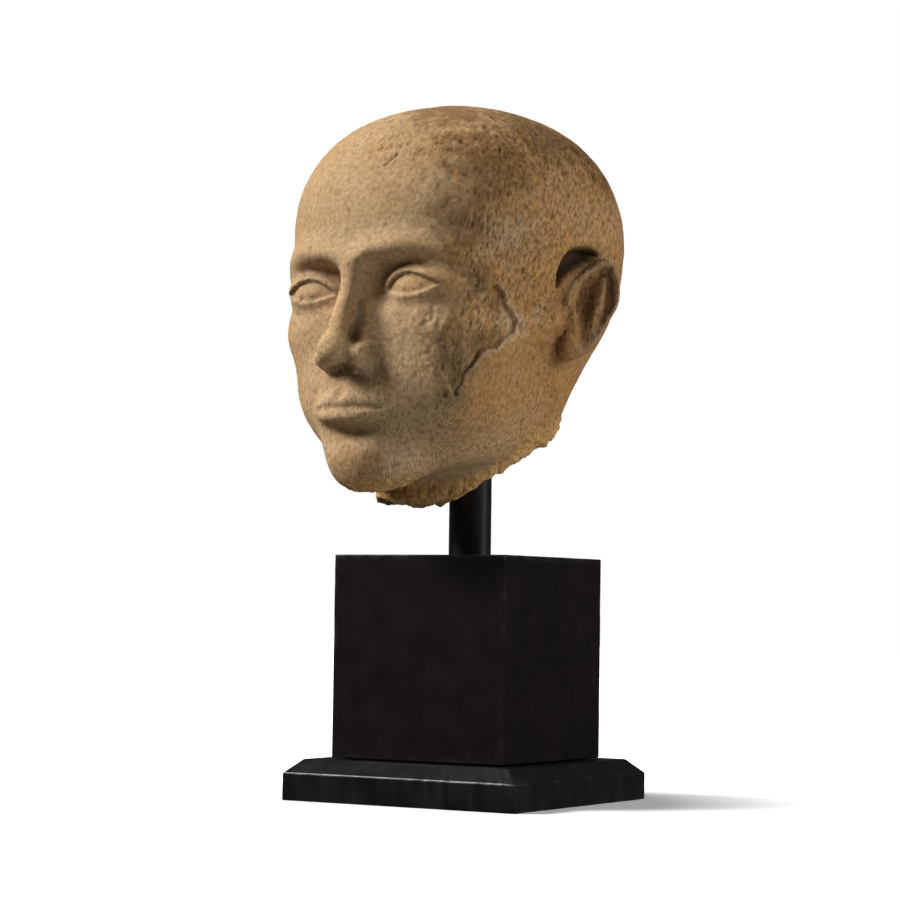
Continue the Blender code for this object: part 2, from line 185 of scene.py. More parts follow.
def pits(p, size, seed, share, wide):  # round hollows strewn one to a cell, from 0 to 1 at the bottom
    q = p / size + seed * 11.7
    cell = np.floor(q).astype(np.int64)
    deepest = np.zeros(len(p))
    for dx in (-1, 0, 1):
        for dy in (-1, 0, 1):
            for dz in (-1, 0, 1):
                x, y, z = (cell + (dx, dy, dz)).T
                middle = np.column_stack([x + cellValue(x, y, z, seed), y + cellValue(x, y, z, seed + 1),
                                          z + cellValue(x, y, z, seed + 2)])
                radius = wide * (0.55 + 0.45 * cellValue(x, y, z, seed + 3))
                held = cellValue(x, y, z, seed + 4) < share
                reach = 1 - lengthOf(q - middle) / radius
                deepest = np.maximum(deepest, np.where(held, reach * radius / wide, 0))
    return ease(deepest * 1.5)


# the head's forms


def station(z, column):
    heights = np.array([row[0] for row in headForm["stations"]])
    values = np.array([row[column] for row in headForm["stations"]])
    slopes = np.gradient(values, heights)
    z = np.clip(z, heights[0], heights[-1])
    i = np.clip(np.searchsorted(heights, z) - 1, 0, len(heights) - 2)
    gap = heights[i + 1] - heights[i]
    t = (z - heights[i]) / gap
    return ((2 * t**3 - 3 * t**2 + 1) * values[i] + (t**3 - 2 * t**2 + t) * gap * slopes[i]
            + (3 * t**2 - 2 * t**3) * values[i + 1] + (t**3 - t**2) * gap * slopes[i + 1])


def skull(p):
    crownStart, widestY, power = headForm["crownStart"], headForm["widestY"], headForm["crownRound"]
    z = np.minimum(p[:, 2], crownStart)
    width, front, back, frontRound, backRound = (station(z, column) for column in range(1, 6))
    before = p[:, 1] < widestY
    depth = np.where(before, widestY - front, back - widestY)
    around = np.where(before, frontRound, backRound)
    across, along = np.abs(p[:, 0] / width), np.abs((p[:, 1] - widestY) / depth)
    plan = (across**around + along**around) ** (1 / around)
    rise = np.maximum(p[:, 2] - crownStart, 0) / headForm["crownRise"]
    return ((plan**power + rise**power) ** (1 / power) - 1) * headForm["meanRadius"]


def underJaw(p):
    down = np.array([0.0, 0.26, -1.0])
    return (p - np.array([0, -0.36, 0.0])) @ (down / math.hypot(*down))


def neck(p):
    q = turned(p, (0, 0.06, 0), -8, 0)
    around = np.sqrt((q[:, 0] / 0.245) ** 2 + ((q[:, 1] - 0.085) / 0.265) ** 2)
    return np.maximum((around - 1) * 0.24, q[:, 2] - 0.45)


def cheeksAndChin(p, s, f):
    f = join(f, egg(s, (0.205, -0.262, 0.385), (0.090, 0.100, 0.075)), 0.12)
    f = join(f, egg(s, (0.165, -0.200, 0.235), (0.125, 0.165, 0.135)), 0.08)
    f = join(f, egg(p, (0, -0.315, 0.205), (0.145, 0.130, 0.125)), 0.10)
    return join(f, egg(p, (0, -0.332, 0.060), (0.096, 0.092, 0.068)), 0.09)


def brow(s, f):
    arch = smoothPath([(0, -0.410, 0.546), (0.07, -0.418, 0.560), (0.155, -0.398, 0.576),
                       (0.24, -0.330, 0.562), (0.29, -0.25, 0.522)], 3)
    f = join(f, strand(s, arch, np.linspace(0.028, 0.016, len(arch))), 0.07)
    f = carve(f, egg(s, (0.155, -0.452, 0.500), (0.105, 0.072, 0.050)), 0.05)
    return carve(f, egg(s, (0.072, -0.452, 0.487), (0.032, 0.060, 0.050)), 0.05)


def nose(p, s, f):
    form = taperedBar(p, (0, -0.408, 0.548), (0, -0.484, 0.350), 0.020, 0.027)
    form = join(form, taperedBar(s, (0.004, -0.380, 0.52), (0.040, -0.418, 0.325), 0.026, 0.032), 0.03)
    form = join(form, egg(p, (0, -0.492, 0.321), (0.040, 0.042, 0.035)), 0.03)
    form = join(form, egg(s, (0.054, -0.440, 0.307), (0.033, 0.048, 0.032)), 0.026)
    f = join(f, form, 0.028)
    return carve(f, egg(s, (0.030, -0.464, 0.277), (0.016, 0.028, 0.013)), 0.012)


def eyes(s, f):  # an eyeball in each socket, raised all round the opening to make the lids
    inner, outer = 0.082, 0.242
    centre = (0.162, -0.306, 0.487)
    ball = egg(turned(s, centre, -10, 2), centre, (0.104, 0.096, 0.064))
    across = np.clip((s[:, 0] - inner) / (outer - inner), 0, 1)
    level = 0.478 + 0.010 * across
    arc = np.sin(math.pi * across**0.85)
    upper = level + 0.033 * arc
    lower = level - 0.021 * np.sin(math.pi * across**1.15)
    upperLid = 0.014 * ease((s[:, 2] - upper) / 0.011 + 0.5)
    lowerLid = 0.010 * ease((lower - s[:, 2]) / 0.011 + 0.5)
    crease = 0.008 * arc * np.exp(-(((s[:, 2] - upper - 0.030) / 0.007) ** 2))
    return join(f, ball - upperLid - lowerLid + crease, 0.016)


def mouth(p, s, f):
    upper = smoothPath([(0, -0.456, 0.197), (0.024, -0.456, 0.203), (0.060, -0.441, 0.197),
                        (0.094, -0.416, 0.188), (0.116, -0.390, 0.184)], 3)
    lower = smoothPath([(0, -0.449, 0.161), (0.040, -0.444, 0.162), (0.078, -0.422, 0.169),
                        (0.106, -0.397, 0.179)], 3)
    line = smoothPath([(0, -0.480, 0.180), (0.050, -0.468, 0.182), (0.090, -0.442, 0.181),
                       (0.116, -0.413, 0.185)], 3)
    fullness = 1 - np.linspace(0, 1, len(upper)) ** 2
    f = join(f, strand(s, upper, 0.005 + 0.013 * fullness), 0.022)
    fullness = 1 - np.linspace(0, 1, len(lower)) ** 2
    f = join(f, strand(s, lower, 0.006 + 0.018 * fullness), 0.024)
    f = carve(f, strand(s, line, np.linspace(0.008, 0.003, len(line))), 0.008)
    f = carve(f, taperedBar(p, (0, -0.462, 0.262), (0, -0.474, 0.218), 0.008, 0.010), 0.022)
    f = carve(f, egg(p, (0, -0.446, 0.120), (0.075, 0.024, 0.014)), 0.04)
    return carve(f, taperedBar(s, (0.082, -0.448, 0.308), (0.136, -0.430, 0.212), 0.008, 0.006), 0.035)


# the left ear; its paths run out, back and up from its middle, with each point's radius last
earForm = {
    "middle": np.array([0.376, 0.045, 0.452]),
    "turn": 28, "lean": 8,  # degrees that it stands out and leans back
    "rim": [(-0.001, -0.060, 0.005, 0.012), (0.001, -0.062, 0.034, 0.013), (-0.001, -0.036, 0.074, 0.014),
            (-0.005, 0.005, 0.110, 0.014), (-0.007, 0.038, 0.128, 0.014), (-0.004, 0.060, 0.106, 0.014),
            (-0.003, 0.073, 0.070, 0.014), (-0.005, 0.074, 0.025, 0.014), (-0.011, 0.056, -0.020, 0.014),
            (-0.017, 0.036, -0.066, 0.013), (-0.025, 0.010, -0.104, 0.012)],
    "rimUpright": np.array([0.3, 1, 1, 1]),  # its section is three times as deep as it is wide
    "bowl": [(0.036, 0.016, 0.088, 0.014), (0.038, 0.002, 0.060, 0.025), (0.038, -0.008, 0.018, 0.031),
             (0.034, 0.000, -0.040, 0.021), (0.030, -0.002, -0.084, 0.010)],
    "groove": [(0.036, 0.044, 0.100, 0.005), (0.038, 0.055, 0.066, 0.007), (0.036, 0.056, 0.020, 0.007),
               (0.030, 0.042, -0.024, 0.005)],
    "fold": [(0.022, 0.036, 0.086, 0.008), (0.024, 0.036, 0.040, 0.010), (0.020, 0.028, -0.012, 0.010),
             (0.016, 0.022, -0.052, 0.008)],
    # the channel sunk before and above the ear once the rest is formed
    "channel": [(0, -0.102, 0.036, 0.010), (0, -0.092, 0.080, 0.024), (0, -0.062, 0.116, 0.032),
                (0, -0.024, 0.138, 0.028), (0, 0.014, 0.150, 0.018), (0, 0.038, 0.150, 0.010)],
    "channelDepth": 0.036, "channelWall": 0.022, "rimWall": 0.014,
    # the ear's bowl, where the finish paints shade
    "shadedBowl": [(0.018, 0.002, 0.070, 0.030), (0.010, -0.006, 0.010, 0.034), (0.010, 0.000, -0.070, 0.014)],
}


def mirrored(p):  # both halves laid over the head's left one
    return np.column_stack([np.abs(p[:, 0]), p[:, 1], p[:, 2]])


def inEar(p):  # out, back and up from the ear's middle
    middle = earForm["middle"]
    return turned(turned(mirrored(p), middle, earForm["turn"], 2), middle, earForm["lean"], 0) - middle


def strandWithRadii(q, path):
    return strand(q, path[:, :3], path[:, 3])


def earChannel(p):  # how deep the channel is sunk
    q = inEar(p)
    flat = q * (0, 1, 1)
    into = -strandWithRadii(flat, smoothPath(earForm["channel"], 3))
    besideRim = strandWithRadii(flat, smoothPath(earForm["rim"], 3) * (0, 1, 1, 1))
    depth = earForm["channelDepth"] * ease(into / earForm["channelWall"]) * ease(besideRim / earForm["rimWall"])
    return depth * ease((q[:, 0] + 0.06) / 0.02)


def earHollowShade(p):  # painted shade in the ear's channel and bowl, from 0 to 0.75
    bowl = ease(-strandWithRadii(inEar(p), smoothPath(earForm["shadedBowl"], 2)) / 0.020)
    return 0.75 * np.maximum(ease(earChannel(p) / 0.030), bowl)


def ear(s, f):
    q, upright = inEar(s), earForm["rimUpright"]
    rim, bowl, groove, fold = (smoothPath(earForm[name], 3) for name in ("rim", "bowl", "groove", "fold"))
    form = egg(q, (0, 0.008, 0.012), (0.028, 0.070, 0.122))
    form = join(form, strandWithRadii(q * upright[:3], rim * upright), 0.014)
    form = join(form, egg(q, (0.006, -0.028, -0.100), (0.024, 0.036, 0.036)), 0.02)
    f = join(f, form, 0.008)
    f = carve(f, strandWithRadii(q, bowl), 0.010)
    f = join(f, strandWithRadii(q, fold), 0.010)
    f = carve(f, strandWithRadii(q, groove), 0.005)
    return carve(f, taperedBar(q, (0.064, -0.092, -0.085), (0.062, -0.080, -0.160), 0.012, 0.024), 0.006)


def insideOutline(u, v, outline):  # distance into a closed outline, negative outside it
    near = np.full(len(u), 9.0)
    inside = np.zeros(len(u), bool)
    for (au, av), (bu, bv) in zip(outline, outline[1:] + outline[:1]):
        eu, ev = bu - au, bv - av
        t = np.clip(((u - au) * eu + (v - av) * ev) / (eu * eu + ev * ev), 0, 1)
        near = np.minimum(near, np.hypot(u - au - t * eu, v - av - t * ev))
        crosses = (av > v) != (bv > v)
        inside ^= crosses & (u < au + (v - av) * eu / (ev if ev else 1e-9))
    return np.where(inside, near, -near)


def intoFlake(p):  # distance into the lost flake, and how far to the ear's side of it
    wander = 0.004 * lumps(p, 0.022, 3)
    angle = math.radians(damage["flakeView"])
    across = p[:, 0] * math.cos(angle) + p[:, 1] * math.sin(angle)
    facing = p[:, 0] * math.sin(angle) - p[:, 1] * math.cos(angle) > headForm["meanRadius"] / 2
    into = insideOutline(across + wander, p[:, 2] - wander, damage["flakeOutline"])
    (topX, topZ), (lowX, lowZ) = damage["flakeOutline"][0], damage["flakeOutline"][11]
    rise = math.hypot(topX - lowX, topZ - lowZ)
    side = ((across - lowX) * (topZ - lowZ) - (p[:, 2] - lowZ) * (topX - lowX)) / rise
    return np.where(facing, into, -9), side


def flakeDepth(p):  # a deep gap along the ear's side, and a floor that runs out towards the nose
    into, side = intoFlake(p)
    gap = np.exp(-((np.maximum(into, 0) / damage["flakeGap"]) ** 2)) * ease((side + 0.01) / 0.03)
    reach = np.maximum(0.2 + 0.8 * ease((side + 0.06) / 0.10), 0.5 * ease((0.39 - p[:, 2]) / 0.03))
    return damage["flakeDepth"] * np.clip(into / 0.003, 0, 1) * (0.6 + 0.4 * gap) * reach


def neckBreak(p):
    rough = 0.6 * lumps(p, 0.09, 5) + 0.7 * lumps(p, 0.035, 6)
    angle = math.radians(damage["breakHeading"])
    height = np.interp(p[:, 1] * math.cos(angle) + p[:, 0] * math.sin(angle), *zip(*damage["breakLine"]))
    return 0.8 * (height - p[:, 2]) + damage["breakRoughness"] * rough


def soundStone(p):  # negative inside the carved stone; the flake and the ears' channels come later
    s = mirrored(p)
    f = keep(skull(p), underJaw(p), 0.07)
    f = join(f, neck(p), 0.05)
    f = cheeksAndChin(p, s, f)
    f = brow(s, f)
    f = nose(p, s, f)
    f = eyes(s, f)
    f = mouth(p, s, f)
    f = ear(s, f)
    return keep(f, neckBreak(p), 0.008)


def stone(p):
    return soundStone(p) + flakeDepth(p)


# placing the head in the frame

rodLow, rodHigh = (Vector(corner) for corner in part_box("mount_rod"))
blockLow, blockHigh = (Vector(corner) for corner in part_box("plinth_block"))
slabLow, slabHigh = (Vector(corner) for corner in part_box("plinth_slab"))
headLow, headHigh = (Vector(corner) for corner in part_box("limestone_head"))
rodAxis = (rodLow + rodHigh) / 2
rodRadius = (rodHigh.x - rodLow.x) / 2
chinZ = blockHigh.z + headPlace["chinAboveBlock"]
headMiddle = Vector((rodAxis.x + headPlace["side"], rodAxis.y + headPlace["back"], chinZ))
headMatrix = (Matrix.Translation(headMiddle) @ Matrix.Rotation(math.radians(-headPlace["turn"]), 4, "Z")
              @ Matrix.Scale(headPlace["height"], 4))
millimetre = 0.001 / headPlace["height"]  # in shares of the head


# the stone with the rod's hole in it; the mesh follows only the hole's mouth, so the rod runs on in the stone
def withSocket(p):
    axis = headMatrix.inverted() @ rodAxis
    radius = (rodRadius + headPlace["rodGap"]) / headPlace["height"]
    top = (rodHigh.z - chinZ) / headPlace["height"] + radius / 8
    hole = np.maximum(np.hypot(p[:, 0] - axis.x, p[:, 1] - axis.y) - radius, p[:, 2] - top)
    return np.maximum(soundStone(p), -hole)


def getPoints(mesh):
    flat = np.empty(len(mesh.vertices) * 3)
    mesh.vertices.foreach_get("co", flat)
    return flat.reshape(-1, 3)


def setPoints(mesh, points):
    mesh.vertices.foreach_set("co", np.ascontiguousarray(points, dtype=float).ravel())
    mesh.update()


def formAndSlope(p, form):
    probe = 0.0015
    f = form(p)
    return f, np.column_stack([(form(p + probe * axis) - f) / probe for axis in np.eye(3)])


def outwards(p, form):  # the way straight out of the stone at each point
    slope = formAndSlope(p, form)[1]
    return slope / np.maximum(lengthOf(slope), 1e-9)[:, None]


def carveToForm(mesh, form, rounds, longestStep):  # moves the mesh's points onto the surface
    p = getPoints(mesh)
    for _ in range(rounds):
        f, slope = formAndSlope(p, form)
        step = -(f / np.maximum((slope**2).sum(1), 0.25))[:, None] * slope
        p = p + step * np.minimum(1, longestStep / np.maximum(lengthOf(step), 1e-9))[:, None]
    setPoints(mesh, p)


def applyModifier(piece, kind, **settings):
    modifier = piece.modifiers.new(kind.title(), kind)
    for name, value in settings.items():
        setattr(modifier, name, value)
    with bpy.context.temp_override(object=piece, active_object=piece, selected_objects=[piece]):
        bpy.ops.object.modifier_apply(modifier=modifier.name)


def addPiece(name, bm):
    mesh = bpy.data.meshes.new(name)
    bm.to_mesh(mesh)
    bm.free()
    piece = bpy.data.objects.new(name, mesh)
    bpy.context.scene.collection.objects.link(piece)
    return piece


def setAttribute(mesh, name, values):
    layer = mesh.attributes.new(name, "FLOAT", "POINT")
    layer.data.foreach_set("value", np.ascontiguousarray(values, dtype=np.float32))


# what weather, burial and knocks did to the surface; depths and widths in millimetres
weathering = {
    "toolWaves": 0.14,
    "grain": 0.05,
    "crownPitDepth": 0.55, "crownPitCell": 1.45,
    "sidePitDepth": 0.42, "sidePitCell": 1.20, "sidePitSlant": 0.27,
    "jawPitDepth": 0.30, "jawPitCell": 3.4,
    "flakeRoughness": 0.85,
    "breakRoughness": 0.8,
    # coarse places: where, how wide, how rough
    "rough": [
        ((0.190, -0.385, 0.345), 7.5, 0.40), ((0.235, -0.345, 0.290), 6.0, 0.50),
        ((0.240, -0.365, 0.400), 5.0, 0.40), ((0.345, -0.095, 0.455), 6.0, 0.40),
        ((0.170, -0.280, 0.880), 17.0, 0.30), ((0.300, 0.020, 0.250), 5.0, 0.25),
    ],
    # single pits and chips: where, how wide, how deep
    "chips": [
        ((0.357, -0.091, 0.441), 0.8, 0.7), ((0.379, -0.045, 0.394), 1.2, 2.4),
        ((0.350, -0.110, 0.452), 0.6, 0.5), ((0.234, -0.340, 0.213), 0.8, 0.5),
        ((0.253, -0.319, 0.214), 0.7, 0.5), ((-0.190, -0.397, 0.468), 0.8, 0.4),
        ((0.312, 0.097, 0.880), 1.8, 0.7), ((0.225, -0.275, 0.850), 1.0, 0.5),
        ((0.205, -0.290, 0.845), 0.7, 0.7), ((0.325, -0.085, 0.240), 0.5, 0.4),
        ((0.300, -0.140, 0.330), 0.5, 0.4), ((0.060, -0.370, 0.860), 0.6, 0.5),
        ((0.268, -0.290, 0.235), 0.8, 0.5),
    ],
    # hairline cracks: points along each, how wide, how deep
    "cracks": [
        ([(0.322, 0.137, 0.858), (0.358, 0.110, 0.800), (0.380, 0.080, 0.745), (0.392, 0.055, 0.700)],
         0.35, 0.45),
        ([(0.092, -0.374, 0.817), (0.083, -0.382, 0.805), (0.077, -0.388, 0.795)], 0.45, 0.5),
    ],
    # stains: where, how wide; pale where rubbed through, olive where moss grew, patina where earth lay on it;
    # the olive and patina lists each hold one patch of painted shade
    "pale": [
        ((0.330, -0.235, 0.620), 7.0), ((0.345, -0.110, 0.430), 3.2), ((0.237, -0.369, 0.415), 4.0),
        ((0.090, -0.380, 0.060), 4.5), ((0.150, -0.355, 0.055), 5.0), ((0.320, -0.170, 0.400), 5.0),
    ],
    "patinaAndShade": [
        ((0.270, -0.020, 0.930), 20.0), ((0.120, -0.200, 0.975), 14.0), ((0.310, 0.180, 0.860), 14.0),
        # the last of these, in the hollow under the ear's lobe, is painted shade
        ((0.275, -0.235, 0.800), 14.0), ((0.250, -0.320, 0.640), 9.0), ((0.372, -0.055, 0.345), 4.5),
    ],
    "oliveAndShade": [
        # the last of these, by the outer corner of the eye, is painted shade
        ((0.262, -0.315, 0.300), 5.5), ((0.250, -0.320, 0.215), 5.0), ((0.295, -0.290, 0.490), 4.0),
    ],
}


def regions(p):  # shares from 0 to 1 of each kind of surface
    side = np.abs(p[:, 0])
    patchy = 0.5 + 0.5 * lumps(p, 0.16, 21)
    crown = ease((p[:, 2] - 0.74) / 0.12) * ease(0.15 + 0.8 * patchy)
    temple = ease((side - 0.22) / 0.09) * ease((p[:, 2] - 0.32) / 0.12) * (0.6 + 0.4 * patchy)
    back = ease((p[:, 1] - 0.05) / 0.2) * (0.25 + 0.5 * patchy)
    jaw = ease((0.40 - p[:, 2]) / 0.12)
    into, earward = intoFlake(p)
    flake = ease(into / 0.006) * (0.4 + 0.6 * ease((earward + 0.06) / 0.08))
    broken = ease((neckBreak(p) + 0.045) / 0.020)
    # brown: browner and darker towards the sides, the back and the crown, partly the stone's own tone and
    # partly painted shade
    return {"crown": crown, "temple": np.maximum(temple, back) * (1 - jaw), "jaw": jaw, "flake": flake,
            "flakeEdge": into, "flakeSide": ease((earward + 0.01) / 0.03), "broken": broken,
            "brown": np.clip(ease((side - 0.20) / 0.12) + back + 0.6 * crown, 0, 1)}


def spots(p, places, seed):  # ragged round patches, from 0 to 1
    ragged = 0.5 * lumps(p, 2.2 * millimetre, seed) + 0.3 * lumps(p, 0.9 * millimetre, seed + 1)
    return [ease(1.35 - lengthOf(p - place) / (wide * millimetre) + ragged) for place, wide, *_ in places]


def surfaceRelief(p):  # in millimetres, how deep the surface is eaten away at each point, and the pits alone
    w, part = weathering, regions(p)
    slanted = p * (1, 1, 0.45)
    slanted[:, 1] -= w["sidePitSlant"] * p[:, 2]
    sound = (1 - part["flake"]) * (1 - part["broken"])
    crownPits = pits(slanted, w["crownPitCell"] * millimetre, 3, 0.9, 0.66) * part["crown"]
    sidePits = pits(slanted, w["sidePitCell"] * millimetre, 9, 0.9, 0.58) * part["temple"]
    jawPits = pits(p, w["jawPitCell"] * millimetre, 14, 0.35, 0.24)
    pitted = sound * (w["crownPitDepth"] * crownPits + w["sidePitDepth"] * sidePits
                      + w["jawPitDepth"] * jawPits)
    waves = w["toolWaves"] * (0.6 * lumps(p, 6 * millimetre, 31) + 0.4 * lumps(p, 2.6 * millimetre, 32))
    depth = pitted + waves + w["grain"] * lumps(p, 1.1 * millimetre, 33)
    rough = (0.65 * crags(slanted, 2.0 * millimetre, 41) + 0.45 * crags(slanted, 1.0 * millimetre, 42) - 0.5
             + 0.8 * lumps(p, 5 * millimetre, 43))
    depth += w["flakeRoughness"] * part["flake"] * rough
    deepest = w["flakeRoughness"] * part["flake"] * np.maximum(rough, 0) * 0.6
    rough = 0.65 * crags(p, 1.8 * millimetre, 54) + 0.5 * crags(p, 0.9 * millimetre, 55) - 0.5
    for spot, (*_, rise) in zip(spots(p, w["rough"], 45), w["rough"]):
        depth += rise * spot * (rough + 0.4)
        deepest = np.maximum(deepest, rise * spot * np.maximum(rough, 0))
    # the deep gap along the flake's edge counts as a pit too, so the finish paints it dark as shade
    gap = np.exp(-(((part["flakeEdge"] - 0.004) / 0.003) ** 2)) * part["flakeSide"]
    gap = gap * np.clip(0.5 + 0.8 * lumps(p, 5 * millimetre, 46), 0, 1)
    pitted = np.maximum(np.maximum(pitted, deepest), 0.45 * gap)
    depth += 0.3 * gap
    rough = crags(p, 3.4 * millimetre, 51) + 0.6 * crags(p, 1.5 * millimetre, 53) - 0.7
    depth += w["breakRoughness"] * part["broken"] * rough
    losses = []
    for place, wide, deep in w["chips"]:
        away = lengthOf(p - place) / (wide * millimetre) + 0.25 * lumps(p, 0.8 * millimetre, 61)
        losses.append(deep * ease(1.4 - away))
    wandering = p + 0.004 * lumps(p, 0.02, 62)[:, None]
    for points, wide, deep in w["cracks"]:
        path = smoothPath(points, 4)
        away = strand(wandering, path, np.zeros(len(path))) / (wide * millimetre)
        losses.append(deep * ease(1.2 - away))
    for loss in losses:
        depth += loss
        pitted = np.maximum(pitted, loss)
    return depth, pitted


# how finely the head is carved; the last three reach out from its surface, in shares of its height
carving = {
    "firstRounds": 14, "firstStep": 0.06,
    # size of the mesh's faces in metres, what they are brought on to, and in how many rounds
    "passes": [(0.0024, soundStone, 4), (0.0011, withSocket, 3), (0.00044, withSocket, 2)],
    "step": 0.02,
    "triangles": 196000,
    "rodClear": 1.05, "rodBlend": 0.25,  # no relief this close to the rod, in its radii
    "fullPit": 0.4,  # depth in millimetres of a pit that is wholly dark
    "nearShelter": 0.012, "farShelter": 0.045, "thinEdge": 0.014,
}


def makeHead():
    c = carving
    bm = bmesh.new()
    bmesh.ops.create_icosphere(bm, subdivisions=5, radius=headForm["firstBall"])
    bmesh.ops.translate(bm, vec=(0, headForm["widestY"], 0.5), verts=bm.verts)
    head = addPiece("carvedHead", bm)
    mesh = head.data
    carveToForm(mesh, soundStone, c["firstRounds"], c["firstStep"])
    for faceSize, form, rounds in c["passes"]:
        applyModifier(head, "REMESH", mode="VOXEL", voxel_size=faceSize / headPlace["height"])
        carveToForm(mesh, form, rounds, c["step"])
    p = getPoints(mesh)
    print("head carved:", len(p), "points")

    axis = headMatrix.inverted() @ rodAxis
    fromRod = np.hypot(p[:, 0] - axis.x, p[:, 1] - axis.y) * headPlace["height"] / rodRadius
    depth = surfaceRelief(p)[0] * ease((fromRod - c["rodClear"]) / c["rodBlend"])
    depth = depth * millimetre + flakeDepth(p) + earChannel(p)
    setPoints(mesh, p - outwards(p, soundStone) * depth[:, None])
    triangles = sum(len(face.vertices) - 2 for face in mesh.polygons)
    applyModifier(head, "DECIMATE", ratio=min(1, c["triangles"] / triangles))

    p = getPoints(mesh)
    normal = outwards(p, stone)
    part = regions(p)
    # how deep each pit, chip, crack and gap is, which darkens the finish: dirt and painted shade
    pitted = np.clip(surfaceRelief(p)[1] / c["fullPit"], 0, 1)
    # painted shade: darker where the stone closes in round a point, found by probing outwards from the surface
    near, far = (np.clip((reach - stone(p + reach * normal)) / reach, 0, 1)
                 for reach in (c["nearShelter"], c["farShelter"]))
    paintedShade = np.clip(0.6 * near + 0.7 * far, 0, 1) * (1 - 0.9 * part["broken"]) + earHollowShade(p)
    thin = np.clip((stone(p - c["thinEdge"] * normal) + c["thinEdge"]) / c["thinEdge"], 0, 1)
    flakeRim = np.exp(-(((part["flakeEdge"] + 0.0025) / 0.002) ** 2)) * part["flakeSide"]
    pale, mossAndShade, patinaAndShade = (np.max(spots(p, weathering[stain], seed), axis=0)
                           for stain, seed in (("pale", 47), ("oliveAndShade", 49), ("patinaAndShade", 53)))
    rubbed = np.clip(0.6 * thin + 0.5 * flakeRim + 0.6 * pale, 0, 1) * (1 - 0.8 * pitted)
    coarse = np.clip(part["temple"] + 0.8 * part["crown"] + 0.5 * part["flake"], 0, 1)
    for name, values in (("pitted", pitted), ("paintedShade", paintedShade), ("rubbed", rubbed), ("mossAndShade", mossAndShade),
                         ("patinaAndShade", patinaAndShade), ("freshBreak", part["broken"]), ("brown", part["brown"]),
                         ("coarse", coarse), ("stroked", part["jaw"])):
        setAttribute(mesh, name, values)
    mesh.transform(headMatrix)
    inside = headPlace["insideBox"]
    setPoints(mesh, np.clip(getPoints(mesh), np.array(headLow) + inside, np.array(headHigh) - inside))
    mesh.shade_smooth()
    print("head finished:", sum(len(face.vertices) - 2 for face in mesh.polygons), "triangles")
    return head


# plinth and rod; all in metres

plinth = {
    "slabChamferRun": 0.0042,
    "slabChamferDrop": 0.0039,
    "edgeRound": 0.0003,
    "edgeSegments": 2,
    "cuts": 44,  # across each long face, so that its edges can be worn
    "unevenness": 0.00002,
    "edgeWear": 0.0001,
    "wearWidth": 0.0005,
    "longEdge": 0.02,  # an edge longer than this is cut
    "slabChip": (0.0012, 0.0002), "blockChip": (0.0010, 0.0002),  # at one corner, how wide and how deep
    "rodGap": 0.0002, "seatSides": 96,  # the rod's seat in the block
}


def edgeLines(bm):
    return [(np.array(edge.verts[0].co), np.array(edge.verts[1].co)) for edge in bm.edges]


def nearestLine(p, lines):
    return np.minimum.reduce([taperedBar(p, start, end, 0, 0) for start, end in lines])


def wearEdges(bm, name, seed, corner, chip):  # rounds the edges, wears and dents them, and chips a corner
    lines = edgeLines(bm)
    bmesh.ops.bevel(bm, geom=bm.edges[:], offset=plinth["edgeRound"], offset_type="OFFSET",
                    segments=plinth["edgeSegments"], profile=0.5, affect="EDGES", material=-1)
    longEdges = [edge for edge in bm.edges if edge.calc_length() > plinth["longEdge"]]
    bmesh.ops.subdivide_edges(bm, edges=longEdges, cuts=plinth["cuts"], use_grid_fill=True)
    bmesh.ops.recalc_face_normals(bm, faces=bm.faces)
    piece = addPiece(name, bm)
    mesh = piece.data
    p = getPoints(mesh)
    normals = np.empty(len(p) * 3)
    mesh.vertices.foreach_get("normal", normals)
    normals = normals.reshape(-1, 3)
    near = np.exp(-((nearestLine(p, lines) / plinth["wearWidth"]) ** 2))
    knocks = np.clip(lumps(p, 0.0045, seed) + 0.6 * lumps(p, 0.0016, seed + 1), 0, 1)
    uneven = plinth["unevenness"] * (1 + lumps(p, 0.012, seed + 2))
    depth = plinth["edgeWear"] * near * (0.2 + knocks) + uneven
    bare = near * ease(0.2 + 1.1 * knocks)
    wide, deep = chip
    hit = ease(1.3 - lengthOf(p - np.array(corner)) / wide)
    setPoints(mesh, p - normals * (depth + deep * hit)[:, None])
    setAttribute(mesh, "worn", np.maximum(bare, hit))
    return piece


def makeSlab():
    side, thick = slabHigh.x - slabLow.x, slabHigh.z - slabLow.z
    bm = bmesh.new()
    bmesh.ops.create_cube(bm, size=1)
    upright = thick - plinth["slabChamferDrop"]
    bmesh.ops.scale(bm, vec=(side, side, upright), verts=bm.verts)
    bmesh.ops.translate(bm, vec=(0, 0, slabLow.z + upright / 2), verts=bm.verts)
    top = max(bm.faces, key=lambda face: face.calc_center_median().z)
    bmesh.ops.inset_region(bm, faces=[top], thickness=plinth["slabChamferRun"], use_even_offset=True)
    bmesh.ops.translate(bm, vec=(0, 0, plinth["slabChamferDrop"]), verts=top.verts)
    corner = (slabHigh.x, slabLow.y, upright)
    slab = wearEdges(bm, "polishedSlab", 71, corner, plinth["slabChip"])
    print("slab made")
    return slab


